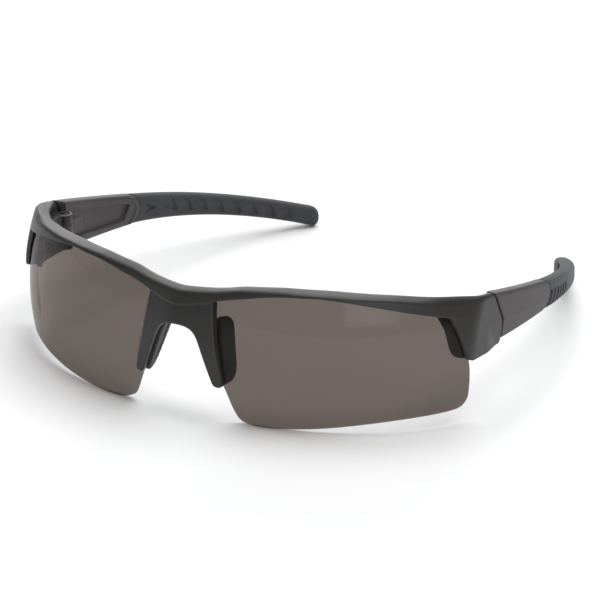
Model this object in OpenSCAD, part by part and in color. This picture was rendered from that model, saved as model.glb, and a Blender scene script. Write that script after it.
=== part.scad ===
// Half-frame wrap safety glasses, standing on the lens bottoms and the temple ends.
// The wearer looks along -Y, +Z is up and +X is the wearer's left. Millimetres.

/* [Lenses] */
// Outside radius of each lens, an eight-base curve
lens_r = 66; // [65.8:0.1:66.2]
// Thickness of each lens
lens_t = 2; // [1.8:0.1:2.1]
// Distance of each lens's centre of curvature from the middle of the glasses
lens_dx = 13.8; // [13.6:0.1:14]
// Height of the centre of curvature above the table
lens_cz = 16.6; // [16.5:0.1:16.8]
// Turn of each lens from straight ahead, in degrees
lens_yaw = 28; // [27.5:0.5:28.5]

/* [Front frame] */
// Thickness of the lip in front of the lens
lip_t = 1.5; // [1.3:0.1:1.6]
// Depth of the brow bar, front to back
brow_depth = 4.6; // [4.4:0.1:4.8]
// Backward sweep of the bridge on each side, in degrees
bridge_sweep = 13.5; // [12:0.5:15]
// Radius of the arch over the nose
arch_r = 6; // [5.5:0.1:6.3]
// Half the distance between the outer faces of the cheeks
cheek_x = 73.5; // [73.3:0.1:73.8]

/* [Hinges] */
// Distance of each hinge screw from the middle
hinge_x = 68.2; // [68:0.1:68.3]
// Distance of each hinge screw behind the front of the lenses
hinge_y = 50; // [49.8:0.1:50.2]
// Radius of the hinge knuckles
knuckle_r = 2.4; // [2.2:0.1:2.5]
// Radius of the screw shank
screw_r = 0.7; // [0.6:0.05:0.8]

/* [Temples] */
// Length along the temple from the hinge to the rounded end
temple_len = 110; // [109:0.5:111]
// Distance along the temple at which the soft end begins
joint_s = 38; // [36:0.5:40]
// Radius of the steel core wire
wire_r = 0.6; // [0.5:0.05:0.7]

/* [Nose pads] */
// Thickness of each soft pad
pad_t = 1.9; // [1.6:0.1:2.1]
// Height of each pad
pad_h = 18; // [17:0.5:20]
// How far each pad reaches back behind the lip
pad_depth = 10.5; // [9.5:0.5:11.5]

/* [Hidden] */
$fn = 64;
lens_cy = 68.5;
back_shift = 76.8;
fit_gap = 0.12;
pocket_gap = 0.15;
lip_r = lens_r + lip_t;
back_r = lip_r - brow_depth;
wall_in = 70.9;
arm_gap = 0.3;
lug_low = [21, 24.4];
lug_high = [28.6, 31.6];
washer_t = 0.4;
run_gap = 0.04;
hinge_play = 0.03;
top_play = 0.05;
head_r = 1.35;
head_h = 0.8;
insert_r = 1.3;
tongue_s = 54;
tongue_w = 2;
tongue_h = 4.4;
socket_gap = 0.1;
wire_from = 46;
wire_to = 102;
pad_at = [8.1, 2.7, 18.6];
pad_rake = 0.32;
lean = 19;
end_round = 3;
splay = 13;

// ---- curves ----

// A smooth open curve through points p, with n steps between neighbours
function bend(a, b, c, d, t) = 0.5 * (2 * b + (c - a) * t + (2 * a - 5 * b + 4 * c - d) * t * t
  + (3 * b - 3 * c + d - a) * t * t * t);
function smooth(p, n = 4) = [
  for (i = [0 : len(p) - 2], k = [0 : n - 1])
    bend(p[max(i - 1, 0)], p[i], p[i + 1], p[min(i + 2, len(p) - 1)], k / n),
  p[len(p) - 1]];

// A closed outline moved outward by d; the outline runs anticlockwise
function side_way(a, b) = let (t = b - a) [t[1], -t[0]] / max(norm(t), 0.001);
function grown(p, d) = [
  for (i = [0 : len(p) - 1])
    p[i] + d * side_way(p[(i + len(p) - 1) % len(p)], p[(i + 1) % len(p)])];

// Outlines of the lens and of the brow, seen along the lens's own axis, from its centre
lens_low = smooth([[-32.4, -3.2], [-30.8, -6.2], [-28.4, -12], [-26.2, -15.4], [-22.6, -16.52],
  [-15.2, -16.4], [-4, -15.35], [7.1, -14.05], [18, -13.1], [29.2, -12.6], [34.1, -12.1], [36.2, -10.4],
  [37, -7.6], [37.1, 0], [35.4, 8.5], [33, 13.7], [29.8, 17.6]]);
brow_lip = [[-36, 17.2], [-26, 19.9], [-18, 21.5], [-9.6, 22.4], [-2, 22.1], [6.4, 20.9], [17.3, 18.6],
  [28, 16], [33, 14.8]];
brow_top = [[33, 20.8], [27, 21.4], [17, 22.5], [9, 23.4], [0, 24.2], [-9, 24.5], [-18, 24.1],
  [-26, 23.2], [-36, 21.8]];
lens_up = [[28, 17.8], [17.3, 20], [6.4, 22.2], [-2, 23.4], [-9.6, 23.6], [-18, 22.8], [-26, 21.4],
  [-34.4, 19]];
lens_nose = smooth([[-34.4, 19], [-34.6, 14], [-34.2, 9], [-33.6, 4], [-32.4, -3.2]]);
function inner(p) = [for (i = [1 : len(p) - 2]) p[i]];
lens_outline = concat(lens_low, smooth(lens_up), inner(lens_nose));
brow_outline = concat(smooth(brow_lip), smooth(brow_top));

// Bridge and leg seen from the front, from the middle outward, down the lens side and up the arch
arch_z = 21.7;
leg_side = [[9.8, 34.6], [10.4, 30.4], [11, 26.3], [11.8, 22.2], [12.7, 17.9], [13.7, 13]];
leg_end = [[13.5, 11.6], [12.8, 10.9], [11.9, 11.2]];
arch = [for (a = [25 : 6.5 : 90]) [arch_r * cos(a), arch_z + arch_r * sin(a)]];
leg_outline = concat([[0, 34.6]], leg_side, leg_end, arch);

// Cheek seen from the side (y, z): front lip, lower edge, parting line, top edge
cheek_side = [[24, 36], [33, 32.6], [34.8, 26], [36, 20.1], [36.8, 19.2], [38, 18.8], [46, 18.3],
  [54.6, 18.1], [55.2, 19.2], [54.9, 25.5], [52.9, 29], [50, 34.3],
  [47.4, 35.7], [43, 36.6], [37, 37.6], [24, 39.5]];
cheek_in = smooth([[wall_in, 56], [wall_in, 48], [70.4, 43], [69.2, 39], [67.4, 36.4], [66, 35]]);

// ---- the path of the temple ----

// Inward heading of the temple, in degrees, at distance s behind the hinge
function heading(s) = s < 38 ? 8 * s / 38 : 8 + 0.43 * (s - 38) - 0.0007 * pow(s - 38, 2);
path_step = 1;
path_n = ceil(temple_len) + 2;
function walk(i = 0, x = 71.4, y = hinge_y) =
  i > path_n ? [] : concat([[x, y]], walk(i + 1, x - path_step * sin(heading(i + 0.5)),
    y + path_step * cos(heading(i + 0.5))));
path = walk();
function on_path(s) = s < 0 ? [path[0][0], path[0][1] + s]
  : let (i = floor(s), f = s - i) path[i] * (1 - f) + path[i + 1] * f;
function temple_top(s) = 34.9 - 0.2435 * s - (s > 52 ? 0.0008 * pow(s - 52, 2) : 0);
function temple_low(s) = s < 38 ? 19.4 - 0.078 * s
  : max(0, 16.44 - 0.125 * (s - 38) - 0.0016 * pow(s - 38, 2));
function temple_mid(s) = (temple_top(s) + temple_low(s)) / 2;
function temple_w(s) = s < 30 ? 4.4 - 0.01 * s : 4.1 + 0.5 * min(1, (s - 30) / 30);

// One ring round the path: width w, height h, squareness from 2, an ellipse, upward
function ring(s, w, h, sq, n) = let (c = on_path(s), a = heading(max(s, 0))) [
  for (k = [0 : n - 1]) let (
    t = 360 * k / n,
    u = w / 2 * sign(cos(t)) * pow(abs(cos(t)), 2 / sq),
    v = h / 2 * sign(sin(t)) * pow(abs(sin(t)), 2 / sq))
    [c[0] + u * cos(a), c[1] + u * sin(a), temple_mid(s) + v]];

// A closed solid through a list of rings of equal length
module loft(rings) {
  n = len(rings[0]);
  m = len(rings);
  points = [for (r = rings, p = r) p];
  sides = [for (i = [0 : m - 2], k = [0 : n - 1], h = [0, 1]) let (
    a = i * n + k,
    b = i * n + (k + 1) % n)
    h == 0 ? [a, b, b + n] : [a, b + n, a + n]];
  front = [[for (k = [n - 1 : -1 : 0]) k]];
  back = [[for (k = [0 : n - 1]) (m - 1) * n + k]];
  polyhedron(points, concat(front, sides, back), convexity = 6);
}

module at_side(side) {
  translate([0, -back_shift, 0])
    if (side > 0) children();
    else mirror([1, 0, 0]) children();
}

// ---- lenses ----

module lens_frame() translate([lens_dx, lens_cy, lens_cz]) rotate([0, 0, lens_yaw]) children();

module shell(r_in, r_out) {
  difference() {
    sphere(r = r_out);
    sphere(r = r_in);
  }
}

module seen_along(outline, reach = 80) rotate([90, 0, 0]) linear_extrude(reach) polygon(outline);

module lens() {
  color([0.30, 0.28, 0.27, 0.8])
    lens_frame() intersection() {
      shell(lens_r - lens_t, lens_r);
      seen_along(lens_outline);
    }
}

module lens_pocket() {
  lens_frame() intersection() {
    shell(lens_r - lens_t - fit_gap, lens_r + fit_gap);
    seen_along(grown(lens_outline, pocket_gap));
  }
}

// ---- front frame ----

module brow_bar() {
  lens_frame() intersection() {
    shell(back_r, lip_r);
    seen_along(brow_outline);
  }
}

// The middle of the brow, a shallow chevron in plan
module brow_middle() {
  half = 12;
  front = -0.2;
  rise = 3.5;
  intersection() {
    translate([0, 0, 30])
      linear_extrude(12)
        polygon([[0, front], [half, front + rise], [half, front + rise + brow_depth],
          [0, front + brow_depth]]);
    seen_along_front([[0, 33.6], [half, 35.1], [half, 39.4], [6, 38.6], [0, 38.3]]);
  }
}

// Bridge plate and leg, cut from a cylinder wall that lies across the nose
module bridge_leg() {
  turn = [sin(bridge_sweep), -cos(bridge_sweep)];
  axis_at = [12, 0.95] - lip_r * turn;
  intersection() {
    seen_along_front(leg_outline);
    translate([axis_at[0], axis_at[1], lens_cz])
      rotate([0, 0, bridge_sweep])
        rotate([0, 90, 0])
          difference() {
            cylinder(r = lip_r, h = 60, center = true, $fn = 128);
            cylinder(r = lip_r - 5, h = 62, center = true, $fn = 128);
          }
  }
}

module seen_along_front(outline)
  translate([0, 20, 0]) rotate([90, 0, 0]) linear_extrude(40) polygon(outline);

module cheek() {
  intersection() {
    translate([55, 0, 0]) rotate([90, 0, 90]) linear_extrude(cheek_x - 55) polygon(cheek_side);
    union() {
      lens_frame() intersection() {
        shell(back_r, lip_r);
        seen_along([[20, -2], [37.6, -2], [37.6, 26], [20, 26]]);
      }
      intersection() {
        translate([0, 0, 10]) linear_extrude(35) polygon(concat([[cheek_x, 35], [cheek_x, 56]], cheek_in));
        lens_frame() sphere(r = lip_r);
      }
    }
  }
}

module lug(z) {
  translate([hinge_x, hinge_y, z[0]]) cylinder(r = knuckle_r, h = z[1] - z[0]);
  translate([hinge_x, hinge_y - 6.5, z[0]])
    cube([wall_in + 0.5 - hinge_x, 6.5, z[1] - z[0]]);
}

module frame_half() {
  difference() {
    union() {
      brow_bar();
      brow_middle();
      bridge_leg();
      cheek();
      lug(lug_low);
      lug(lug_high);
    }
    lens_pocket();
    pad_solid(0.05);
    translate([hinge_x, hinge_y, lug_low[0] - 1]) cylinder(r = screw_r + run_gap, h = 14);
    translate([hinge_x, hinge_y, lug_low[0] - 1]) cylinder(r = insert_r + 0.01, h = 5);
    translate([hinge_x, hinge_y, lug_high[1] - head_h]) cylinder(r = head_r + run_gap, h = 2);
  }
}

module frame_front() {
  color([0.16, 0.16, 0.15])
    translate([0, -back_shift, 0]) {
      frame_half();
      mirror([1, 0, 0]) frame_half();
    }
}

// ---- nose pads ----

// A rounded plate behind the leg, leaning with it, splayed outward and deeper toward its top
function raked(p) = [p[0] * (1 + pad_rake * p[1] / pad_depth), p[1]];

module pad_solid(more = 0) {
  corner = 4;
  low = -pad_h / 2;
  outline = concat(
    [[-more, low + 1], [1, low - more]],
    [for (a = [-90 : 15 : 0]) [pad_depth - corner + (corner + more) * cos(a),
      low + corner + (corner + more) * sin(a)]],
    [for (a = [0 : 15 : 90]) [pad_depth - corner + (corner + more) * cos(a),
      -low - corner + (corner + more) * sin(a)]],
    [[1, -low + more], [-more, -low - 1]]);
  translate(pad_at)
    rotate([0, -lean, 0])
      rotate([0, 0, -splay])
        translate([-more, 0, 0])
          rotate([90, 0, 90])
            linear_extrude(pad_t + 2 * more)
              polygon([for (p = outline) raked(p)]);
}

module nose_pad() {
  color([0.12, 0.12, 0.12])
    difference() {
      pad_solid();
      lens_pocket();
    }
}

// ---- hinge hardware ----

module hinge_screw() {
  color("silver")
    translate([hinge_x, hinge_y, 0]) {
      translate([0, 0, lug_low[0] + 0.4])
        cylinder(r = screw_r, h = lug_high[1] - head_h - lug_low[0] - 0.4);
      difference() {
        translate([0, 0, lug_high[1] - head_h]) cylinder(r = head_r, h = head_h - top_play);
        translate([-head_r, -0.15, lug_high[1] - 0.4]) cube([2 * head_r, 0.3, 1]);
      }
    }
}

module hinge_insert() {
  color("gold")
    translate([hinge_x, hinge_y, lug_low[0] + 0.1])
      difference() {
        cylinder(r = insert_r, h = 2.9);
        translate([0, 0, -1]) cylinder(r = screw_r + 0.01, h = 6);
      }
}

module hinge_washer() {
  color("gainsboro")
    translate([hinge_x, hinge_y, lug_low[1]])
      difference() {
        cylinder(r = 2, h = washer_t);
        translate([0, 0, -1]) cylinder(r = screw_r + run_gap, h = 3);
      }
}

// ---- temples ----

function steps(a, b, n) = [for (i = [0 : n]) a + (b - a) * i / n];
arm_rings = [for (s = steps(0, joint_s, 10))
  ring(s, temple_w(s), temple_top(s) - temple_low(s), 4, 20)];
tongue_rings = [for (s = steps(joint_s - 1, tongue_s, 5)) ring(s, tongue_w, tongue_h, 3, 12)];

module wire_path(r, from, to) loft([for (s = [from : 3 : to + 0.01]) ring(s, 2 * r, 2 * r, 2, 10)]);

module temple_arm() {
  color([0.20, 0.19, 0.19])
    difference() {
      union() {
        loft(arm_rings);
        loft(tongue_rings);
        translate([hinge_x, hinge_y, lug_low[1] + washer_t + hinge_play])
          cylinder(r = knuckle_r, h = lug_high[0] - lug_low[1] - washer_t - hinge_play - top_play);
        translate([hinge_x - knuckle_r + 0.4, hinge_y, lug_low[1] + washer_t + hinge_play])
          cube([3.6, 7, lug_high[0] - lug_low[1] - washer_t - hinge_play - top_play]);
      }
      // room for the cheek, which runs a little way past the hinge outside it
      translate([wall_in - arm_gap, 0, 0])
        rotate([90, 0, 90])
          linear_extrude(10)
            polygon([[40, 10], [55.2 + arm_gap, 10], [55.2 + arm_gap, 25.6], [53.1 + arm_gap, 29.1],
              [50.1 + arm_gap, 34.4], [50.1 + arm_gap, 40], [40, 40]]);
      // room for the two lugs of the frame
      for (z = [[10, lug_low[1] + washer_t + hinge_play], [lug_high[0] - top_play, 40]])
        translate([hinge_x, hinge_y, z[0]])
          cylinder(r = knuckle_r + arm_gap, h = z[1] - z[0]);
      translate([hinge_x, hinge_y, 10]) cylinder(r = screw_r + run_gap, h = 30);
      wire_path(wire_r + 0.04, wire_from - 0.1, wire_to);
    }
}

tip_rings = concat(
  [for (s = [joint_s + 0.05 : 3.5 : temple_len - 6])
    ring(s, temple_w(s), temple_top(s) - temple_low(s), 3, 20)],
  [for (a = [0 : 15 : 75]) let (s = temple_len - end_round + end_round * sin(a))
    ring(s, temple_w(s) * cos(a * 0.9), (temple_top(s) - temple_low(s)) * cos(a * 0.85), 2.6, 20)]);

module temple_tip() {
  color([0.22, 0.22, 0.22])
    difference() {
      loft(tip_rings);
      loft([for (s = steps(joint_s - 1, tongue_s + 0.2, 5))
        ring(s, tongue_w + socket_gap, tongue_h + socket_gap, 3, 12)]);
      wire_path(wire_r + 0.04, tongue_s - 1, wire_to + 0.2);
    }
}

module core_wire() color("silver") wire_path(wire_r, wire_from, wire_to);

frame_front();
at_side(1) lens();  // lens_left
at_side(-1) lens();  // lens_right
at_side(1) nose_pad();  // nose_pad_left
at_side(-1) nose_pad();  // nose_pad_right
at_side(1) hinge_screw();  // hinge_screw_left
at_side(-1) hinge_screw();  // hinge_screw_right
at_side(1) hinge_insert();  // hinge_insert_left
at_side(-1) hinge_insert();  // hinge_insert_right
at_side(1) hinge_washer();  // hinge_washer_left
at_side(-1) hinge_washer();  // hinge_washer_right
at_side(1) temple_arm();  // temple_arm_left
at_side(-1) temple_arm();  // temple_arm_right
at_side(1) temple_tip();  // temple_tip_left
at_side(-1) temple_tip();  // temple_tip_right
at_side(1) core_wire();  // core_wire_left
at_side(-1) core_wire();  // core_wire_right
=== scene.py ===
import bpy
import numpy as np
from mathutils import Matrix, Vector


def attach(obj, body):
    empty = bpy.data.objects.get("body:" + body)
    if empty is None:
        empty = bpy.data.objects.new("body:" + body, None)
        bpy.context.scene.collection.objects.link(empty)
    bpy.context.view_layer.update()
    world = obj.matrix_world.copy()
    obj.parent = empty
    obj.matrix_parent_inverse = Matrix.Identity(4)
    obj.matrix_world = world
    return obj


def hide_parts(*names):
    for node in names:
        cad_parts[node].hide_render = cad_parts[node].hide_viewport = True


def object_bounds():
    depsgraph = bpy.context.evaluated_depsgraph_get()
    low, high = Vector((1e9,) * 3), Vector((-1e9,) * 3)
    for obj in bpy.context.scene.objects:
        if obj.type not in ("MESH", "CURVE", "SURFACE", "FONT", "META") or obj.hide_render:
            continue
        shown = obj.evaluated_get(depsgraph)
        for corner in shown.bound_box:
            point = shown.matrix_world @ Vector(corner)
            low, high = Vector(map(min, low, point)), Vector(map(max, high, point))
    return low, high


# Half-frame wrap safety glasses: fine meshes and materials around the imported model.
# Every shape but the lens is a signed distance in millimetres, negative inside, for the +X half
# of the glasses, and is turned into a mesh. The lens is built from rings of points instead.
# Each mesh is moved to the model's frame in metres, and mirrored.

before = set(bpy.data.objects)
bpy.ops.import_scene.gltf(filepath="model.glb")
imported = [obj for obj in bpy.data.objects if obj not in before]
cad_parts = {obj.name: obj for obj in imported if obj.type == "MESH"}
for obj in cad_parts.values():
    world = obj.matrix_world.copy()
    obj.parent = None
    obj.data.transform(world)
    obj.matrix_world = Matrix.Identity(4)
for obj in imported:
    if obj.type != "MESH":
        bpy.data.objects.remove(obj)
cad_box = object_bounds()

# ---- driving sizes, as in the design, in millimetres ----

BACK_SHIFT = 76.8
LENS_CENTRE = (13.8, 68.5, 16.6)
LENS_YAW = np.radians(28)
LENS_R = 66.0
LENS_T = 2.0
LIP_R = 67.5
BROW_DEPTH = 4.6
CHEEK_X = 73.5
WALL_IN = 70.9
HINGE = (68.2, 50.0)
KNUCKLE_R = 2.4
LUG_LOW = (21.0, 24.4)
LUG_HIGH = (28.6, 31.6)
KNUCKLE_Z = (24.83, 28.55)
SCREW_R = 0.7
HEAD_R = 1.35
HEAD_H = 0.8
INSERT_R = 1.3
INSERT_ROOM_H = 3.0
RUN_GAP = 0.04
PART_GAP = 0.3
TEMPLE_START = (71.4, 50.0)
JOINT_S = 38.0
TIP_END = 110.0
PAD_AT = (8.1, 2.7, 18.6)
PAD_LEAN = np.radians(19)
PAD_RAKE = 0.32
PAD_SPLAY = np.radians(13)
PAD_T = 1.9
PAD_H = 18.0
PAD_DEPTH = 10.5
PAD_CROWN = 0.35
GROOVE_DEPTH = 0.55
RIB_HEIGHT = 0.12
RIB_PITCH = 1.9
LENS_GAP = 0.13
PAD_LENS_GAP = 0.12
PAD_GAP = 0.06
EDGE_ROUND = 0.45
TOP_ROUND = 0.9

# ---- distance tools ----


def smooth_max(a, b, k):
    """Both shapes at once, with the edge between them rounded over k"""
    h = np.maximum(k - np.abs(a - b), 0.0) / k
    return np.maximum(a, b) + h * h * k * 0.25


def smooth_min(a, b, k):
    """Either shape, with the corner between them filleted over k"""
    return -smooth_max(-a, -b, k)


def both(shapes, k):
    out = shapes[0]
    for shape in shapes[1:]:
        out = smooth_max(out, shape, k)
    return out


def ease(a, low, high):
    """0 below low, 1 above high and a soft step between"""
    t = np.clip((a - low) / (high - low), 0.0, 1.0)
    return t * t * (3 - 2 * t)


def within(a, low, high):
    return np.maximum(low - a, a - high)


def curve(points, closed=False, steps=6):
    """A Catmull-Rom curve through points"""
    p = np.array(points, float)
    count = len(p)
    last = count if closed else count - 1
    out = []
    for i in range(last):
        if closed:
            a, b, c, d = (p[(i + j) % count] for j in (-1, 0, 1, 2))
        else:
            a, b, c, d = (p[min(max(i + j, 0), count - 1)] for j in (-1, 0, 1, 2))
        for k in range(steps):
            t = k / steps
            out.append(0.5 * (2 * b + (c - a) * t + (2 * a - 5 * b + 4 * c - d) * t ** 2
                              + (3 * b - 3 * c + d - a) * t ** 3))
    if not closed:
        out.append(p[-1])
    return np.array(out)


def outline(points, cell=0.12, margin=3.0):
    """A closed outline as a function of two coordinates that gives the signed distance"""
    p = np.array(points, float)
    low = p.min(0) - margin
    count = np.ceil((p.max(0) + margin - low) / cell).astype(int) + 1
    a = (low[0] + cell * np.arange(count[0]))[:, None]
    b = (low[1] + cell * np.arange(count[1]))[None, :]
    nearest = np.full(tuple(count), 1e9)
    inside = np.zeros(tuple(count), bool)
    for start, end in zip(p, np.roll(p, -1, 0)):
        way = end - start
        length2 = max(way @ way, 1e-9)
        t = np.clip(((a - start[0]) * way[0] + (b - start[1]) * way[1]) / length2, 0, 1)
        nearest = np.minimum(nearest, (a - start[0] - t * way[0]) ** 2 + (b - start[1] - t * way[1]) ** 2)
        if start[1] != end[1]:
            cut = start[0] + (b - start[1]) * way[0] / way[1]
            inside ^= ((b < start[1]) != (b < end[1])) & (a < cut)
    table = (np.sqrt(nearest) * np.where(inside, -1, 1)).astype(np.float32)

    def distance(u, v):
        fu = np.clip((u - low[0]) / cell, 0, count[0] - 1.001)
        fv = np.clip((v - low[1]) / cell, 0, count[1] - 1.001)
        iu = fu.astype(np.int32)
        iv = fv.astype(np.int32)
        du = fu - iu
        dv = fv - iv
        return ((1 - du) * ((1 - dv) * table[iu, iv] + dv * table[iu, iv + 1])
                + du * ((1 - dv) * table[iu + 1, iv] + dv * table[iu + 1, iv + 1]))

    return distance


def level(points):
    """A height along a curve, as a function of the distance along it"""
    p = curve(points)
    return lambda u: np.interp(u, p[:, 0], p[:, 1])


# ---- from a distance to a mesh ----

CORNERS = [(i, j, k) for i in (0, 1) for j in (0, 1) for k in (0, 1)]
EDGES = [(a, b) for a in CORNERS for b in CORNERS if a < b and sum(np.abs(np.subtract(a, b))) == 1]
COARSE = 4


def sampled(shape, low, count, cell):
    """The distances on a grid, worked out closely only near the surface"""
    rough = [low[i] + cell * COARSE * np.arange(count[i] // COARSE + 2) for i in range(3)]
    first = shape(*np.meshgrid(*rough, indexing="ij"))
    nearest = [np.rint(np.arange(count[i]) / COARSE).astype(int) for i in range(3)]
    field = first[np.ix_(*nearest)].astype(np.float32)
    near = np.argwhere(np.abs(field) < 1.6 * cell * COARSE)
    values = shape(*(low + cell * near).T)
    field[tuple(near.T)] = values
    return field


def slopes(shape, points, value, step=0.02):
    out = np.empty_like(points)
    for axis in range(3):
        moved = points.copy()
        moved[:, axis] += step
        out[:, axis] = (shape(*moved.T) - value) / step
    return out


def largest(quads, count):
    """The points and faces of the biggest connected piece, without crumbs left by a cut"""
    label = np.arange(count)
    while True:
        lowest = label.copy()
        for corner in quads.T:
            np.minimum.at(lowest, corner, label[quads].min(1))
        lowest = lowest[lowest]
        if (lowest == label).all():
            break
        label = lowest
    piece = label[quads[:, 0]]
    used, faces = np.unique(quads[piece == np.bincount(piece).argmax()], return_inverse=True)
    return used, faces.reshape(-1, 4)


def surface(shape, low, high, cell, mirrored=False):
    """Vertices and quads on the zero of a distance: one vertex in each cell it crosses"""
    low = np.array(low, float)
    if mirrored:
        low[0] = -cell / 2
    count = np.ceil((np.array(high) - low) / cell).astype(int) + 1
    field = sampled(shape, low, count, cell)
    inside = field < 0
    size = np.array(field.shape) - 1
    total = sum(inside[i:i + size[0], j:j + size[1], k:k + size[2]].astype(np.int8) for i, j, k in CORNERS)
    cells = np.argwhere((total > 0) & (total < 8))
    number = np.full(size, -1)
    number[tuple(cells.T)] = np.arange(len(cells))
    place = np.zeros((len(cells), 3))
    crossings = np.zeros(len(cells))
    for a, b in EDGES:
        fa = field[tuple((cells + a).T)]
        fb = field[tuple((cells + b).T)]
        crossed = (fa < 0) != (fb < 0)
        t = np.where(crossed, fa / np.where(crossed, fa - fb, 1), 0)
        point = np.array(a) + t[:, None] * np.subtract(b, a)
        place += point * crossed[:, None]
        crossings += crossed
    points = low + cell * (cells + place / crossings[:, None])
    for _ in range(2):
        value = shape(*points.T)
        slope = slopes(shape, points, value)
        step = value / np.maximum((slope ** 2).sum(1), 0.2)
        move = slope * step[:, None]
        far = np.linalg.norm(move, axis=1)
        points -= move * np.minimum(1, 0.5 * cell / np.maximum(far, 1e-9))[:, None]
    quads = []
    for axis in range(3):
        one = np.eye(3, dtype=int)[axis]
        side_a, side_b = np.roll(np.eye(3, dtype=int), -1 - axis, 0)[:2]
        ends = np.array(field.shape) - one
        lower = inside[:ends[0], :ends[1], :ends[2]]
        upper = inside[one[0]:, one[1]:, one[2]:]
        at = np.argwhere(lower != upper)
        at = at[((at[:, side_a > 0] > 0) & (at[:, side_b > 0] > 0)).ravel()]
        at = at[((at * side_a).sum(1) < size @ side_a) & ((at * side_b).sum(1) < size @ side_b)]
        ring = [at, at - side_a, at - side_a - side_b, at - side_b]
        faces = np.stack([number[tuple(r.T)] for r in ring], 1)
        turned = ~inside[tuple(at.T)]
        faces[turned] = faces[turned][:, ::-1]
        quads.append(faces)
    used, quads = largest(np.concatenate(quads), len(points))
    points = points[used]
    if not mirrored:
        return points, quads
    middle = cells[used, 0] == 0
    points[middle, 0] = 0
    twin = np.where(middle, np.arange(len(points)), 0)
    twin[~middle] = len(points) + np.arange((~middle).sum())
    other = points[~middle] * (-1, 1, 1)
    return np.concatenate([points, other]), np.concatenate([quads, twin[quads][:, ::-1]])


def to_model(points):
    """From the design's millimetres to the model's metres"""
    return (np.asarray(points) - (0, BACK_SHIFT, 0)) * 0.001


def mirror_mesh(points, faces):
    return points * (-1, 1, 1), [face[::-1] for face in faces]


def add_mesh(name, points, faces, material):
    """A smooth object from points in millimetres"""
    mesh = bpy.data.meshes.new(name)
    mesh.from_pydata(to_model(points).tolist(), [], [list(map(int, face)) for face in faces])
    mesh.shade_smooth()
    mesh.materials.append(material)
    mesh.update()
    piece = bpy.data.objects.new(name, mesh)
    bpy.context.scene.collection.objects.link(piece)
    return piece


def settle(piece, body, slot, *nodes):
    """Ties a piece to its body and hides the CAD nodes that it replaces; the slot is not used"""
    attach(piece, body)
    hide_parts(*nodes)
    return piece


# ---- the front: surfaces that its pieces share ----

BRIDGE_TIP_Y = -0.95
BRIDGE_SWEEP = 0.30
BRIDGE_ROUND = 3.0
BRIDGE_BEND = 135.0


def from_lens_centre(x, y, z):
    return np.sqrt((x - LENS_CENTRE[0]) ** 2 + (y - LENS_CENTRE[1]) ** 2 + (z - LENS_CENTRE[2]) ** 2)


def lens_axes(x, y, z):
    """Sideways and upward places on a lens, seen along its own axis"""
    dx = x - LENS_CENTRE[0]
    dy = y - LENS_CENTRE[1]
    return np.cos(LENS_YAW) * dx + np.sin(LENS_YAW) * dy, z - LENS_CENTRE[2]


def front_depth(x, y, z):
    """Depth behind the front face: each side is a sphere, and a swept plate joins them"""
    side = LIP_R - from_lens_centre(x, y, z)
    plate_y = (BRIDGE_TIP_Y + BRIDGE_SWEEP * np.sqrt(x * x + BRIDGE_ROUND ** 2)
               + 0.02 * np.maximum(0, x - 12) ** 2
               + ((z - LENS_CENTRE[2]) ** 2 - 396) / BRIDGE_BEND)
    depth = smooth_max(side, (y - plate_y) * 0.96, 1.5)
    return smooth_min(depth, CHEEK_X - x, 0.9)


def across(x, y):
    """Distance sideways along the front face from the middle"""
    turn = np.arctan2(x - LENS_CENTRE[0], LENS_CENTRE[1] - y)
    round_lens = LENS_CENTRE[0] + LENS_R * turn
    w = ease(x, 4.0, LENS_CENTRE[0])
    return np.abs(x) * (1 - w) + round_lens * w


brow_low = level([(0, 34.0), (3, 34.2), (5.6, 34.7), (8, 35.1), (10.6, 35.7), (13, 36.3), (18, 37.2),
                  (24, 38.4), (30, 39.2), (36, 39.4), (42, 39.4), (47, 38.9), (53, 38.0), (59, 36.9),
                  (64, 35.8), (70, 34.4), (76, 33.0), (84, 31.2)])
brow_high = level([(0, 38.4), (10, 38.8), (19, 40.0), (29, 40.8), (35, 40.85), (44, 40.7), (50, 40.4),
                   (59, 39.8), (65, 39.4), (71, 38.8), (77, 38.2), (83.5, 37.4), (90, 36.3),
                   (94, 35.6), (98, 34.8), (106, 33.4)])
ridge_depth = level([(0, 3.2), (19, 2.9), (29, 3.1), (44, 3.6), (59, 3.0), (65, 2.4), (71, 1.7), (77, 1.0),
                     (84, 1.0), (94, 1.3), (106, 1.5)])
cheek_inside = level([(30, 64.0), (35, 66.0), (36.4, 67.4), (39, 69.2), (43, 70.4), (48, WALL_IN),
                      (58, WALL_IN)])
crease = level([(40, 27.4), (56, 25.0), (70, 23.0), (87, 19.8), (100, 17.2)])

BROW_END = 82.0
LEG_TOP = 36.5
LEG_FRONT = 0.7
LEG_BACK = 5.0
leg = outline(np.concatenate([
    [(-3, LEG_TOP), (10.0, LEG_TOP)],
    curve([(10.1, 35.3), (10.4, 33.2), (11.3, 26.6), (12.0, 22.3), (12.7, 18.9), (13.5, 14.8), (13.9, 12.1),
           (13.6, 11.25), (12.9, 10.95), (12, 11.05), (11.2, 11.8), (10.6, 13.5), (9.4, 17.1), (7.9, 21.3),
           (6.65, 24.5), (5.7, 26.1), (4.7, 27.1), (3.3, 27.8), (1.8, 28.15), (0, 28.25)]),
    [(-3, 28.25)]]))
cheek_side = outline([(24, 44), (24, 36), (33, 32.6), (34.8, 26), (36, 20.2), (36.7, 19.3), (38, 18.8),
                      (46, 18.3), (54.6, 18.1), (55.2, 19.2), (54.9, 25.5), (52.9, 29.2), (50.2, 34.2),
                      (48, 44)])


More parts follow.
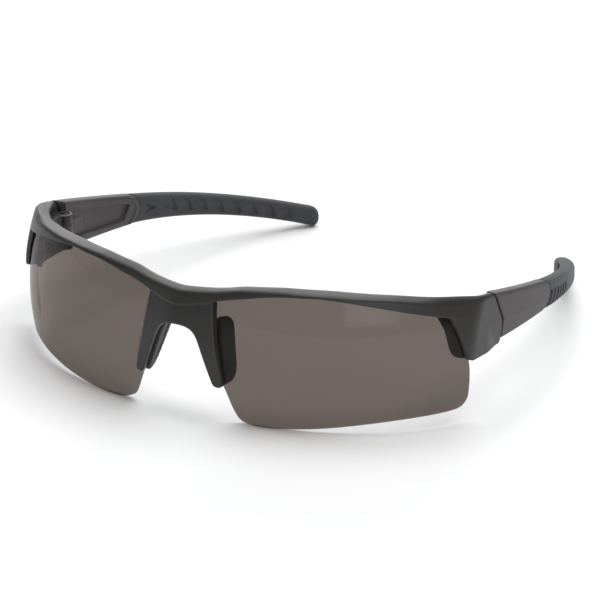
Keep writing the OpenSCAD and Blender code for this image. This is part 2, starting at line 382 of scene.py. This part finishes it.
def lens_points():
    """The lens outline, seen along its own axis: lower edge, top in the brow, nasal edge"""
    low = curve([(-32.4, -3.2), (-30.8, -6.2), (-28.4, -12), (-26.2, -15.4), (-22.6, -16.52), (-15.2, -16.4),
                 (-4, -15.35), (7.1, -14.05), (18, -13.1), (29.2, -12.6), (34.1, -12.1), (36.2, -10.4),
                 (37.0, -7.6), (37.1, 0), (35.4, 8.5), (33, 13.7), (29.8, 17.6)])
    high = curve([(28, 17.8), (17.3, 20), (6.4, 22.0), (-2, 23.1), (-9.6, 23.3), (-18, 22.6), (-26, 21.2),
                  (-34.4, 19)])
    nasal = curve([(-34.4, 19), (-34.6, 14), (-34.2, 9), (-33.6, 4), (-32.4, -3.2)])
    return np.concatenate([low, high, nasal[1:-1]])


LENS_BACK = 62.0
lens_edge = outline(lens_points())


def lens_room(x, y, z, gap):
    """The lens and a gap all round it; LENS_BACK leaves out the far side of the lens's sphere"""
    r = from_lens_centre(x, y, z)
    a, b = lens_axes(x, y, z)
    wall = np.abs(r - (LENS_R - LENS_T / 2)) - LENS_T / 2
    return np.maximum(wall, np.maximum(lens_edge(a, b), y - LENS_BACK)) - gap


def pad_axes(x, y, z):
    """Across, backward and up in the pad's own plate"""
    dx = x - PAD_AT[0]
    dz = z - PAD_AT[2]
    qx = np.cos(PAD_LEAN) * dx + np.sin(PAD_LEAN) * dz
    qy = y - PAD_AT[1]
    up = -np.sin(PAD_LEAN) * dx + np.cos(PAD_LEAN) * dz
    inward = np.cos(PAD_SPLAY) * qx - np.sin(PAD_SPLAY) * qy
    back = np.sin(PAD_SPLAY) * qx + np.cos(PAD_SPLAY) * qy
    return inward, back / (1 + PAD_RAKE * np.clip(up, -10, 10) / PAD_DEPTH), up


def rounded_plate(a, b, low, high, radius):
    """A rectangle from low to high with round corners"""
    da = np.abs(a - (low[0] + high[0]) / 2) - (high[0] - low[0]) / 2 + radius
    db = np.abs(b - (low[1] + high[1]) / 2) - (high[1] - low[1]) / 2 + radius
    return np.hypot(np.maximum(da, 0), np.maximum(db, 0)) + np.minimum(np.maximum(da, db), 0) - radius


def pad_body(x, y, z):
    """The soft plate before the lens is taken from it"""
    t, back, up = pad_axes(x, y, z)
    edge = rounded_plate(back, up, (-0.6, -PAD_H / 2), (PAD_DEPTH, PAD_H / 2), 4.0)
    crown = PAD_CROWN * (1 - ((back - 5.0) / 5.4) ** 2)
    groove = GROOVE_DEPTH * np.exp(-((back - 5.6) / 0.8) ** 2) * (1 - ease(np.abs(up), 6.2, 8.0))
    ribs = RIB_HEIGHT * np.cos(2 * np.pi * up / RIB_PITCH)
    ribs = ribs * (1 - ease(np.abs(up), 6.0, 7.5)) * ease(back, 6.4, 7.2)
    near_nose = -t - crown * 0.6 + groove + ribs * (1 - ease(back, 9.0, 9.6))
    return both([near_nose, t - PAD_T, edge], 0.9)


def pad_shape(x, y, z):
    return np.maximum(pad_body(x, y, z), -lens_room(x, y, z, PAD_LENS_GAP))


def pin(x, y, radius):
    return np.hypot(x - HINGE[0], y - HINGE[1]) - radius


def facet(y, z):
    """How far the lower part of the cheek and temple is bevelled inward"""
    below = crease(y) - z
    from_front = (y - 46.0) * 1.1
    return 0.13 * np.maximum(smooth_min(below, from_front, 0.8), 0.0)


def cheek_shape(x, y, z, depth):
    shell = LIP_R - from_lens_centre(x, y, z) - BROW_DEPTH
    wall = np.maximum(cheek_inside(y) - x, 35 - y)
    inner = smooth_min(shell, wall, 0.8)
    return both([cheek_side(y, z), inner, facet(y, z) - depth], EDGE_ROUND)


def lug_shape(x, y, z, low, high):
    barrel = np.maximum(pin(x, y, KNUCKLE_R), within(z, low, high))
    reach = within(x, HINGE[0] - 0.4, WALL_IN + 0.5)
    arm = np.maximum(np.maximum(reach, within(y, HINGE[1] - 6.5, HINGE[1])), within(z, low, high))
    return smooth_min(barrel, arm, 0.5)


def frame_shape(x, y, z):
    """The whole front frame without its lenses, pads and screws"""
    depth = front_depth(x, y, z)
    u = across(x, y)
    ridge = ridge_depth(u)
    slant = 0.45 + 0.95 * ease(u, 58, 78) - 0.8 * ease(u, 80, 92)
    top = (brow_high(u) - slant * np.clip(1 - depth / ridge, 0, 1) ** 1.4
           - 0.42 * smooth_max(depth - ridge, 0 * depth, 0.6))
    lower_edge = brow_low(u) - 0.35 * ease(depth, 3.2, 3.8)
    bar = both([lower_edge - z, depth - BROW_DEPTH, u - BROW_END], EDGE_ROUND)
    body = smooth_min(bar, cheek_shape(x, y, z, depth), 0.6)
    body = smooth_max(body, -depth, 0.4)
    body = smooth_max(body, z - top, TOP_ROUND)
    plate = both([leg(u, z), LEG_FRONT - depth, depth - LEG_BACK], EDGE_ROUND)
    body = smooth_min(body, plate, 0.35)
    for low, high in (LUG_LOW, LUG_HIGH):
        body = smooth_min(body, lug_shape(x, y, z, low, high), 0.3)
    body = np.maximum(body, -lens_room(x, y, z, LENS_GAP))
    body = np.maximum(body, -(pad_body(x, y, z) - PAD_GAP))
    body = np.maximum(body, -np.maximum(pin(x, y, SCREW_R + RUN_GAP), within(z, 20, LUG_HIGH[1] - 0.1)))
    body = np.maximum(body, -np.maximum(pin(x, y, INSERT_R + 0.01), z - LUG_LOW[0] - INSERT_ROOM_H))
    return np.maximum(body, -np.maximum(pin(x, y, HEAD_R + RUN_GAP), LUG_HIGH[1] - HEAD_H - z))


# ---- temples ----

PATH_STEP = 0.25
BEND_FROM = 38.0
TURN_AT_BEND = 8.0


def heading(s):
    """Inward heading of the temple at a distance behind the hinge"""
    late = np.maximum(s - BEND_FROM, 0)
    before = TURN_AT_BEND * np.maximum(s, 0) / BEND_FROM
    return np.radians(np.where(s < BEND_FROM, before, TURN_AT_BEND + 0.43 * late - 0.0007 * late ** 2))


def temple_path():
    s = np.arange(-20, TIP_END + 8, PATH_STEP)
    middle = heading(s + PATH_STEP / 2)
    x = np.concatenate([[0], np.cumsum(-np.sin(middle) * PATH_STEP)[:-1]])
    y = np.concatenate([[0], np.cumsum(np.cos(middle) * PATH_STEP)[:-1]])
    start = np.argmin(np.abs(s))
    return s, x - x[start] + TEMPLE_START[0], y - y[start] + TEMPLE_START[1]


PATH = temple_path()


def along(x, y):
    """Distance along the temple and outward from its middle line"""
    s = y - TEMPLE_START[1]
    for _ in range(5):
        a = heading(s)
        off_x = x - np.interp(s, PATH[0], PATH[1])
        off_y = y - np.interp(s, PATH[0], PATH[2])
        s = s - np.sin(a) * off_x + np.cos(a) * off_y
    a = heading(s)
    off_x = x - np.interp(s, PATH[0], PATH[1])
    off_y = y - np.interp(s, PATH[0], PATH[2])
    return s, np.cos(a) * off_x + np.sin(a) * off_y


def temple_top(s):
    return 34.9 - 0.2435 * s - 0.0008 * np.maximum(s - 52, 0) ** 2


def temple_low(s):
    late = np.maximum(s - BEND_FROM, 0)
    before = 19.4 - 0.078 * s
    return np.maximum(np.where(s < BEND_FROM, before, 16.44 - 0.125 * late - 0.0016 * late ** 2), 0.0)


def temple_wide(s):
    return np.where(s < 30, 4.4 - 0.01 * s, 4.1 + 0.5 * np.clip((s - 30) / 30, 0, 1))


def joint_line(s, z):
    """The distance behind the bowed line where the soft end begins"""
    top = temple_top(s)
    low = temple_low(s)
    v = 2 * (z - low) / np.maximum(top - low, 1.0) - 1
    return s - (JOINT_S + 1.6 - 3.6 * np.clip(v - 0.15, -1.2, 1.2) ** 2)


pocket = outline(curve([(5.5, 30.6), (20, 27.2), (33.6, 24.0), (34.6, 22.8), (32.6, 20.0), (31, 19.4),
                        (18, 20.6), (7, 22.0), (5.0, 24.0), (4.6, 29.6)], closed=True))
arrow = outline([(42.2, 1.7), (47.0, 0.0), (42.2, -1.7), (43.8, 0.0)], margin=2.0)
cheek_room = outline([(40, 10), (55.5, 10), (55.5, 25.6), (53.4, 29.1), (50.5, 34.4), (50.5, 42), (40, 42)])


def temple_faces(s, n, z, y, soft):
    """The long four-sided body of a temple; soft rounds its edges"""
    half = temple_wide(s) / 2
    outer = n - half + facet(y, z) * (1 - ease(s, 36, 44))
    inner = -n - half
    sides = smooth_max(outer, inner, 0.5)
    ends = smooth_max(z - temple_top(s), temple_low(s) - z, 0.5)
    return smooth_max(sides, ends, soft)


def arm_shape(x, y, z):
    """The hard front part of a temple, with its knuckle"""
    s, n = along(x, y)
    behind = joint_line(s, z)
    body = temple_faces(s, n, z, y, 1.7)
    half = temple_wide(s) / 2
    hollow = both([pocket(s, z), -n - half - 1.0, n + half - 1.0], 0.5)
    body = smooth_max(body, -hollow, 0.35)
    rib = np.maximum(within(behind, -2.0, 3.0), np.abs(n + half) - 0.28) + np.maximum(
        smooth_max(z - temple_top(s), temple_low(s) - z, 0.5) + 0.9, 0)
    body = smooth_min(body, rib, 0.5)
    body = smooth_max(body, -s, 0.4)
    hinge_z = within(z, *KNUCKLE_Z)
    barrel = np.maximum(pin(x, y, KNUCKLE_R), hinge_z)
    block = np.maximum(np.maximum(within(x, HINGE[0] - 2.0, HINGE[0] + 1.6), within(y, 50, 57)), hinge_z)
    body = smooth_min(body, smooth_min(barrel, block, 0.4), 0.5)
    body = np.maximum(body, -np.maximum(cheek_room(y, z), WALL_IN - PART_GAP - x))
    body = np.maximum(body, -np.maximum(pin(x, y, KNUCKLE_R + PART_GAP), -hinge_z))
    body = np.maximum(body, -pin(x, y, SCREW_R + RUN_GAP))
    return smooth_max(body, behind + 0.08, 0.5)


FIN_COUNT = 6
FIN_PITCH = 3.2
FIN_FROM = 1.6
SLOT_HALF = 0.75
GRIP_PITCH = 6.3
GRIP_FROM = 54.0
GRIP_TO = 99.0
GRIP_SLANT = 0.55
GRIP_DEPTH = 0.6


def tip_shape(x, y, z):
    """The soft rear part of a temple, with fins outside and scalloped grips inside"""
    s, n = along(x, y)
    behind = joint_line(s, z)
    top = temple_top(s)
    low = temple_low(s)
    half = temple_wide(s) / 2
    body = temple_faces(s, n, z, y, 2.2)
    # fins: bowed slots that follow the joint line
    place = behind - FIN_FROM
    number = np.clip(np.rint(place / FIN_PITCH), 0, FIN_COUNT - 1)
    slot = np.abs(place - number * FIN_PITCH) - SLOT_HALF
    height = within(z, low + 0.9 + 0.12 * number, top - 3.4 + 0.1 * number)
    body = smooth_max(body, -both([slot, height, half - 0.75 - n], 0.35), 0.25)
    # grips: slanted scallops along the upper inside
    pitches = (s + GRIP_SLANT * (z - top) - GRIP_FROM) / GRIP_PITCH
    share = pitches - np.floor(pitches)
    window = (1 - ease(z - top, -1.6, -0.9)) * ease(z - top, -5.4, -4.6)
    run = ease(s, GRIP_FROM - 1, GRIP_FROM) * (1 - ease(s, GRIP_TO, GRIP_TO + 2))
    scallop = GRIP_DEPTH * share * (1 - ease(share, 0.93, 1.0)) * window * run
    valley = 0.30 * (1 - ease(np.abs(z - (low + 0.36 * (top - low))), 0.5, 2.2)) * run
    body = smooth_max(body, -n - half + scallop + valley, 0.3)
    # a small arrow-shaped notch and a fine line behind it
    mark = arrow(s, z - (top + low) / 2)
    body = smooth_max(body, -np.maximum(mark, n + half - 0.6), 0.2)
    line = np.maximum(np.abs(z - (top + low) / 2 + 0.3) - 0.16, within(s, 51, 57))
    body = smooth_max(body, -np.maximum(line, n + half - 0.3), 0.15)
    body = smooth_max(body, s - TIP_END, 2.6)
    return smooth_max(body, 0.08 - behind, 0.4)


# ---- hinge screw ----

THREAD_PITCH = 0.4
THREAD_DEPTH = 0.16
SCREW_LOW = LUG_LOW[0] + 0.4
SCREW_TOP = LUG_HIGH[1] - 0.05


def screw_shape(x, y, z):
    """A shank with a thread at its lower end and a domed head with a straight slot"""
    r = np.hypot(x - HINGE[0], y - HINGE[1])
    turn = np.arctan2(y - HINGE[1], x - HINGE[0]) / (2 * np.pi)
    wave = np.abs((z / THREAD_PITCH + turn) % 1.0 - 0.5)
    thread = THREAD_DEPTH * wave * (1 - ease(z, 23.8, 24.2))
    shank = smooth_max(r - SCREW_R + thread, within(z, SCREW_LOW, SCREW_TOP - 0.3), 0.12)
    dome = SCREW_TOP - 0.16 * (r / HEAD_R) ** 2
    head = smooth_max(smooth_max(r - HEAD_R, z - dome, 0.25), LUG_HIGH[1] - HEAD_H - z, 0.1)
    slot = np.maximum(np.abs(y - HINGE[1]) - 0.16, SCREW_TOP - 0.42 - z)
    return smooth_max(smooth_min(shank, head, 0.1), -slot, 0.06)


# ---- the lens panel ----

LENS_RINGS = 56
RIM_ROUND = 0.35
RIM_STEPS = 5


def lens_mesh():
    """Rings from the middle of the panel to its edge, on both spheres, with a polished rim"""
    p = lens_points()
    closed = np.concatenate([p, p[:1]])
    run = np.concatenate([[0], np.cumsum(np.linalg.norm(np.diff(closed, axis=0), axis=1))])
    at = np.linspace(0, run[-1], 420, endpoint=False)
    edge = np.stack([np.interp(at, run, closed[:, i]) for i in (0, 1)], 1)
    for _ in range(3):
        edge = (np.roll(edge, 1, 0) + 2 * edge + np.roll(edge, -1, 0)) / 4
    way = np.roll(edge, -1, 0) - np.roll(edge, 1, 0)
    way /= np.linalg.norm(way, axis=1)[:, None]
    inward = np.stack([-way[:, 1], way[:, 0]], 1)
    middle = edge.mean(0)
    middle_t = LENS_R - LENS_T / 2
    rows = []
    for i in range(1, LENS_RINGS + 1):
        share = np.sin(0.5 * np.pi * i / LENS_RINGS)
        rows.append((middle + (edge + inward * RIM_ROUND - middle) * share, LENS_R))
    for a in np.linspace(0, np.pi / 2, RIM_STEPS)[1:]:
        rows.append((edge + inward * RIM_ROUND * (1 - np.sin(a)), LENS_R - RIM_ROUND * (1 - np.cos(a))))
    rows += [(points, 2 * middle_t - r) for points, r in rows[::-1]]
    flat = np.concatenate([points for points, _ in rows])
    radius = np.concatenate([np.full(len(points), r) for points, r in rows])
    flat = np.concatenate([flat, [middle, middle]])
    radius = np.concatenate([radius, [LENS_R, LENS_R - LENS_T]])
    depth = -np.sqrt(radius ** 2 - (flat ** 2).sum(1))
    x = LENS_CENTRE[0] + np.cos(LENS_YAW) * flat[:, 0] - np.sin(LENS_YAW) * depth
    y = LENS_CENTRE[1] + np.sin(LENS_YAW) * flat[:, 0] + np.cos(LENS_YAW) * depth
    points = np.stack([x, y, LENS_CENTRE[2] + flat[:, 1]], 1)
    n = len(edge)
    k = np.arange(n)
    after = (k + 1) % n
    faces = []
    for i in range(len(rows) - 1):
        faces += np.stack([i * n + k, (i + 1) * n + k, (i + 1) * n + after, i * n + after], 1).tolist()
    last = (len(rows) - 1) * n
    faces += [[a, b, len(flat) - 2] for a, b in zip(k.tolist(), after.tolist())]
    faces += [[last + b, last + a, len(flat) - 1] for a, b in zip(k.tolist(), after.tolist())]
    return points, faces


# ---- materials ----


class Nodes:
    """A material's nodes: make one with add, join sockets with link"""

    def __init__(self, name):
        self.material = bpy.data.materials.new(name)
        self.material.use_nodes = True
        self.tree = self.material.node_tree
        self.shader = self.tree.nodes["Principled BSDF"]
        self.where = self.add("ShaderNodeTexCoord").outputs["Object"]

    def add(self, kind, **values):
        node = self.tree.nodes.new(kind)
        for key, value in values.items():
            if key in node.inputs:
                node.inputs[key].default_value = value
            else:
                setattr(node, key, value)
        return node

    def link(self, a, b):
        self.tree.links.new(a, b)

    def set(self, **values):
        for key, value in values.items():
            self.shader.inputs[key.replace("_", " ")].default_value = value

    def noise(self, size_mm, detail=2.0, roughness=0.5):
        """Noise whose spots are about size_mm across"""
        node = self.add("ShaderNodeTexNoise", Scale=1000 / size_mm, Detail=detail, Roughness=roughness)
        self.link(self.where, node.inputs["Vector"])
        return node.outputs["Fac"]

    def cells(self, size_mm):
        node = self.add("ShaderNodeTexVoronoi", Scale=1000 / size_mm)
        self.link(self.where, node.inputs["Vector"])
        return node.outputs["Distance"]

    def mapped(self, value, low, high, from_low=0.3, from_high=0.7):
        node = self.add("ShaderNodeMapRange")
        node.inputs["From Min"].default_value = from_low
        node.inputs["From Max"].default_value = from_high
        node.inputs["To Min"].default_value = low
        node.inputs["To Max"].default_value = high
        self.link(value, node.inputs["Value"])
        return node.outputs["Result"]

    def mixed(self, share, first, second):
        node = self.add("ShaderNodeMix", data_type="RGBA")
        self.link(share, node.inputs["Factor"])
        for socket, colour in ((node.inputs[6], first), (node.inputs[7], second)):
            if isinstance(colour, tuple):
                socket.default_value = (*colour, 1)
            else:
                self.link(colour, socket)
        return node.outputs[2]

    def bump(self, height, depth_mm, strength, below=None):
        node = self.add("ShaderNodeBump", Strength=strength, Distance=depth_mm * 0.001)
        self.link(height, node.inputs["Height"])
        if below is not None:
            self.link(below, node.inputs["Normal"])
        return node.outputs["Normal"]


def moulded(name, dark, light, edge_highlight, rough, grain_mm=0.16, gloss=0.45):
    """Spark-eroded moulded plastic: fine grain, faint flow marks and a painted highlight along its convex
    edges
    """
    m = Nodes(name)
    grain = m.noise(grain_mm, 3.0, 0.6)
    flow = m.noise(9.0, 2.0)
    body = m.mixed(m.mapped(flow, 0, 1), dark, light)
    # painted highlight: the convex edges, found by pointiness, get a lighter colour
    highlit_edges = m.mapped(m.add("ShaderNodeNewGeometry").outputs["Pointiness"], 0, 1, 0.54, 0.70)
    m.link(m.mixed(highlit_edges, body, edge_highlight), m.shader.inputs["Base Color"])
    m.link(m.mapped(grain, rough - 0.06, rough + 0.08), m.shader.inputs["Roughness"])
    pits = m.bump(m.cells(grain_mm * 1.6), 0.012, 0.35)
    m.link(m.bump(grain, 0.02, 0.45, pits), m.shader.inputs["Normal"])
    m.set(Specular_IOR_Level=gloss, IOR=1.5)
    return m.material


def rubber(name, dark, light, rough=0.72, sheen=0.12):
    """Soft moulded rubber: a dusty bloom, fine pores and a pale grazing sheen"""
    m = Nodes(name)
    bloom = m.noise(3.5, 4.0, 0.65)
    m.link(m.mixed(m.mapped(bloom, 0, 1), dark, light), m.shader.inputs["Base Color"])
    m.link(m.mapped(m.noise(0.5), rough - 0.07, rough + 0.07), m.shader.inputs["Roughness"])
    m.link(m.bump(m.noise(0.12, 3.0, 0.6), 0.015, 0.5), m.shader.inputs["Normal"])
    m.set(Specular_IOR_Level=0.25, Sheen_Weight=sheen, Sheen_Roughness=0.45, Sheen_Tint=(0.8, 0.84, 0.9, 1))
    return m.material


def lens_material():
    """Smoke-tinted polycarbonate: each face passes about a third of the light, and a little more red"""
    m = Nodes("lens_smoke")
    haze = m.noise(14.0, 2.0)
    m.link(m.mixed(m.mapped(haze, 0, 1), (0.040, 0.036, 0.033), (0.046, 0.041, 0.038)),
           m.shader.inputs["Base Color"])
    m.link(m.mapped(m.noise(5.0), 0.035, 0.06), m.shader.inputs["Roughness"])
    m.link(m.bump(m.noise(11.0, 1.0), 0.003, 0.06), m.shader.inputs["Normal"])
    m.set(IOR=1.5, Alpha=0.7, Specular_IOR_Level=0.3)
    # each face is half a clear warm tint and half the glossy surface
    tint = m.add("ShaderNodeBsdfTransparent", Color=(0.445, 0.376, 0.334, 1))
    through = m.add("ShaderNodeMixShader", Fac=0.5)
    m.link(tint.outputs["BSDF"], through.inputs[1])
    m.link(m.shader.outputs["BSDF"], through.inputs[2])
    m.link(through.outputs["Shader"], m.tree.nodes["Material Output"].inputs["Surface"])
    m.material.surface_render_method = "BLENDED"
    return m.material


def metal(name, bright, dull, rough, rings=2600.0):
    """Metal with fine level rings and small tarnish spots"""
    m = Nodes(name)
    spots = m.noise(0.7, 3.0)
    m.link(m.mixed(m.mapped(spots, 0, 1), bright, dull), m.shader.inputs["Base Color"])
    m.link(m.mapped(spots, rough - 0.06, rough + 0.1), m.shader.inputs["Roughness"])
    marks = m.add("ShaderNodeTexWave", wave_type="BANDS", bands_direction="Z", Scale=rings, Distortion=0.6)
    m.link(m.where, marks.inputs["Vector"])
    m.link(m.bump(marks.outputs["Fac"], 0.01, 0.3), m.shader.inputs["Normal"])
    m.set(Metallic=1.0)
    return m.material


def floor_material():
    m = Nodes("pale_floor")
    m.link(m.mixed(m.noise(60.0), (0.91, 0.91, 0.91), (0.93, 0.93, 0.93)), m.shader.inputs["Base Color"])
    m.set(Roughness=0.85, Specular_IOR_Level=0.1)
    return m.material


# the third colour of each plastic is the painted highlight on its convex edges
FRAME_PLASTIC = moulded("frame_plastic", (0.0196, 0.0178, 0.0167), (0.0238, 0.0216, 0.0203),
                        (0.032, 0.030, 0.028), 0.42)
TEMPLE_PLASTIC = moulded("temple_plastic", (0.0420, 0.0360, 0.0380), (0.0500, 0.0430, 0.0455),
                         (0.053, 0.046, 0.049), 0.50)
TIP_RUBBER = rubber("tip_rubber", (0.0430, 0.0435, 0.0460), (0.0530, 0.0535, 0.0560))
PAD_RUBBER = rubber("pad_rubber", (0.0130, 0.0126, 0.0120), (0.0190, 0.0184, 0.0176), 0.6, 0.06)
LENS_SMOKE = lens_material()
BLACK_STEEL = metal("black_steel", (0.090, 0.090, 0.095), (0.060, 0.060, 0.064), 0.38)
WIRE_STEEL = metal("wire_steel", (0.58, 0.58, 0.60), (0.44, 0.44, 0.46), 0.35, 1500.0)
BRASS = metal("insert_brass", (0.72, 0.52, 0.24), (0.58, 0.40, 0.18), 0.32)
WASHER_STEEL = metal("washer_steel", (0.66, 0.67, 0.68), (0.52, 0.53, 0.55), 0.25, 3200.0)

# ---- the pieces ----

SIDES = (("left", False), ("right", True))
FRAME_CELL = 0.29
PAD_CELL = 0.2
SCREW_CELL = 0.07
ARM_CELL = 0.24
TIP_CELL = 0.26


def make_front():
    points, faces = surface(frame_shape, (0, -3, 9.5), (75, 57, 42.5), FRAME_CELL, mirrored=True)
    settle(add_mesh("front_frame", points, faces, FRAME_PLASTIC), "front", "frame", "frame_front")


def make_pair(label, node, mesh, material, slot, body="front"):
    """The left piece and its mirror image"""
    points, faces = mesh
    for side, flipped in SIDES:
        shown = mirror_mesh(points, faces) if flipped else (points, faces)
        piece = add_mesh(f"{label}_{side}", *shown, material)
        settle(piece, body.format(side), slot, f"{node}_{side}")


def dress(node, material):
    """Gives a CAD node that stays in view its material"""
    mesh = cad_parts[node].data
    mesh.materials.clear()
    mesh.materials.append(material)


make_front()
make_pair("lens_panel", "lens", lens_mesh(), LENS_SMOKE, "lens")
make_pair("nose_cushion", "nose_pad", surface(pad_shape, (3, -2, 6), (17, 19, 30), PAD_CELL),
          PAD_RUBBER, "soft_pad")
make_pair("hinge_bolt", "hinge_screw", surface(screw_shape, (66.6, 48.4, 21), (69.8, 51.6, 33.4), SCREW_CELL),
          BLACK_STEEL, "screw")
make_pair("temple_front", "temple_arm", surface(arm_shape, (62, 46, 14), (75, 95, 36.5), ARM_CELL),
          TEMPLE_PLASTIC, "temple", "temple_{}")
make_pair("temple_grip", "temple_tip", surface(tip_shape, (38, 82, -1), (72, 157, 28), TIP_CELL),
          TIP_RUBBER, "soft_tip", "temple_{}")
for side, _ in SIDES:
    dress(f"hinge_insert_{side}", BRASS)
    dress(f"hinge_washer_{side}", WASHER_STEEL)
    dress(f"core_wire_{side}", WIRE_STEEL)

# ---- stage, light and camera, in metres ----

FLOOR_HALF = 4.0
FLOOR_BELOW = 0.0002


def make_floor():
    z = min(cad_box[0][2], 0) - FLOOR_BELOW
    corners = [(a * FLOOR_HALF, b * FLOOR_HALF, z) for a, b in ((-1, -1), (1, -1), (1, 1), (-1, 1))]
    mesh = bpy.data.meshes.new("floor")
    mesh.from_pydata(corners, [], [(0, 1, 2, 3)])
    mesh.materials.append(floor_material())
    floor = bpy.data.objects.new("floor", mesh)
    bpy.context.scene.collection.objects.link(floor)


# each light's name, place, target, size and watts
LIGHTS = (("overhead", (0.1, 0.35, 1.6), (0, 0, 0), (2.0, 1.5), 30),
          ("front", (1.0, -1.0, 0.5), (0, -0.03, 0.02), (0.7, 0.7), 4),
          ("back", (-0.9, 1.4, 0.7), (0, 0, 0.02), (1.6, 0.8), 13))
SKY = (0.96, 0.98, 1.0, 1)
SKY_STRENGTH = 0.24


def add_light(name, place, target, size, watts):
    light = bpy.data.lights.new(name, "AREA")
    light.shape = "RECTANGLE"
    light.size, light.size_y = size
    light.energy = watts
    lamp = bpy.data.objects.new(name, light)
    lamp.location = place
    lamp.rotation_euler = (Vector(place) - Vector(target)).to_track_quat("Z", "Y").to_euler()
    bpy.context.scene.collection.objects.link(lamp)


def make_light():
    scene = bpy.context.scene
    scene.view_settings.view_transform = "Standard"
    world = bpy.data.worlds.new("studio")
    world.use_nodes = True
    background = world.node_tree.nodes["Background"]
    background.inputs["Color"].default_value = SKY
    background.inputs["Strength"].default_value = SKY_STRENGTH
    scene.world = world
    for light in LIGHTS:
        add_light(*light)


CAMERA_AZIMUTH = np.radians(29.573)
CAMERA_ELEVATION = np.radians(21.431)
CAMERA_ROLL = np.radians(0.406)
CAMERA_DISTANCE = 1.3962
CAMERA_LENS = 300.0
CAMERA_AIM = (0.02384, -0.04945, 0.03061)


def make_camera():
    sin_turn, cos_turn = np.sin(CAMERA_AZIMUTH), np.cos(CAMERA_AZIMUTH)
    sin_tilt, cos_tilt = np.sin(CAMERA_ELEVATION), np.cos(CAMERA_ELEVATION)
    back = Vector((sin_turn * cos_tilt, -cos_turn * cos_tilt, sin_tilt))
    flat_right = Vector((cos_turn, sin_turn, 0))
    flat_up = back.cross(flat_right)
    right = np.cos(CAMERA_ROLL) * flat_right + np.sin(CAMERA_ROLL) * flat_up
    up = back.cross(right)
    data = bpy.data.cameras.new("camera")
    data.lens = CAMERA_LENS
    data.sensor_width = 36
    camera = bpy.data.objects.new("camera", data)
    turn = Matrix((right, up, back)).transposed().to_4x4()
    camera.matrix_world = Matrix.Translation(Vector(CAMERA_AIM) + back * CAMERA_DISTANCE) @ turn
    bpy.context.scene.collection.objects.link(camera)
    bpy.context.scene.camera = camera


make_floor()
make_light()
make_camera()
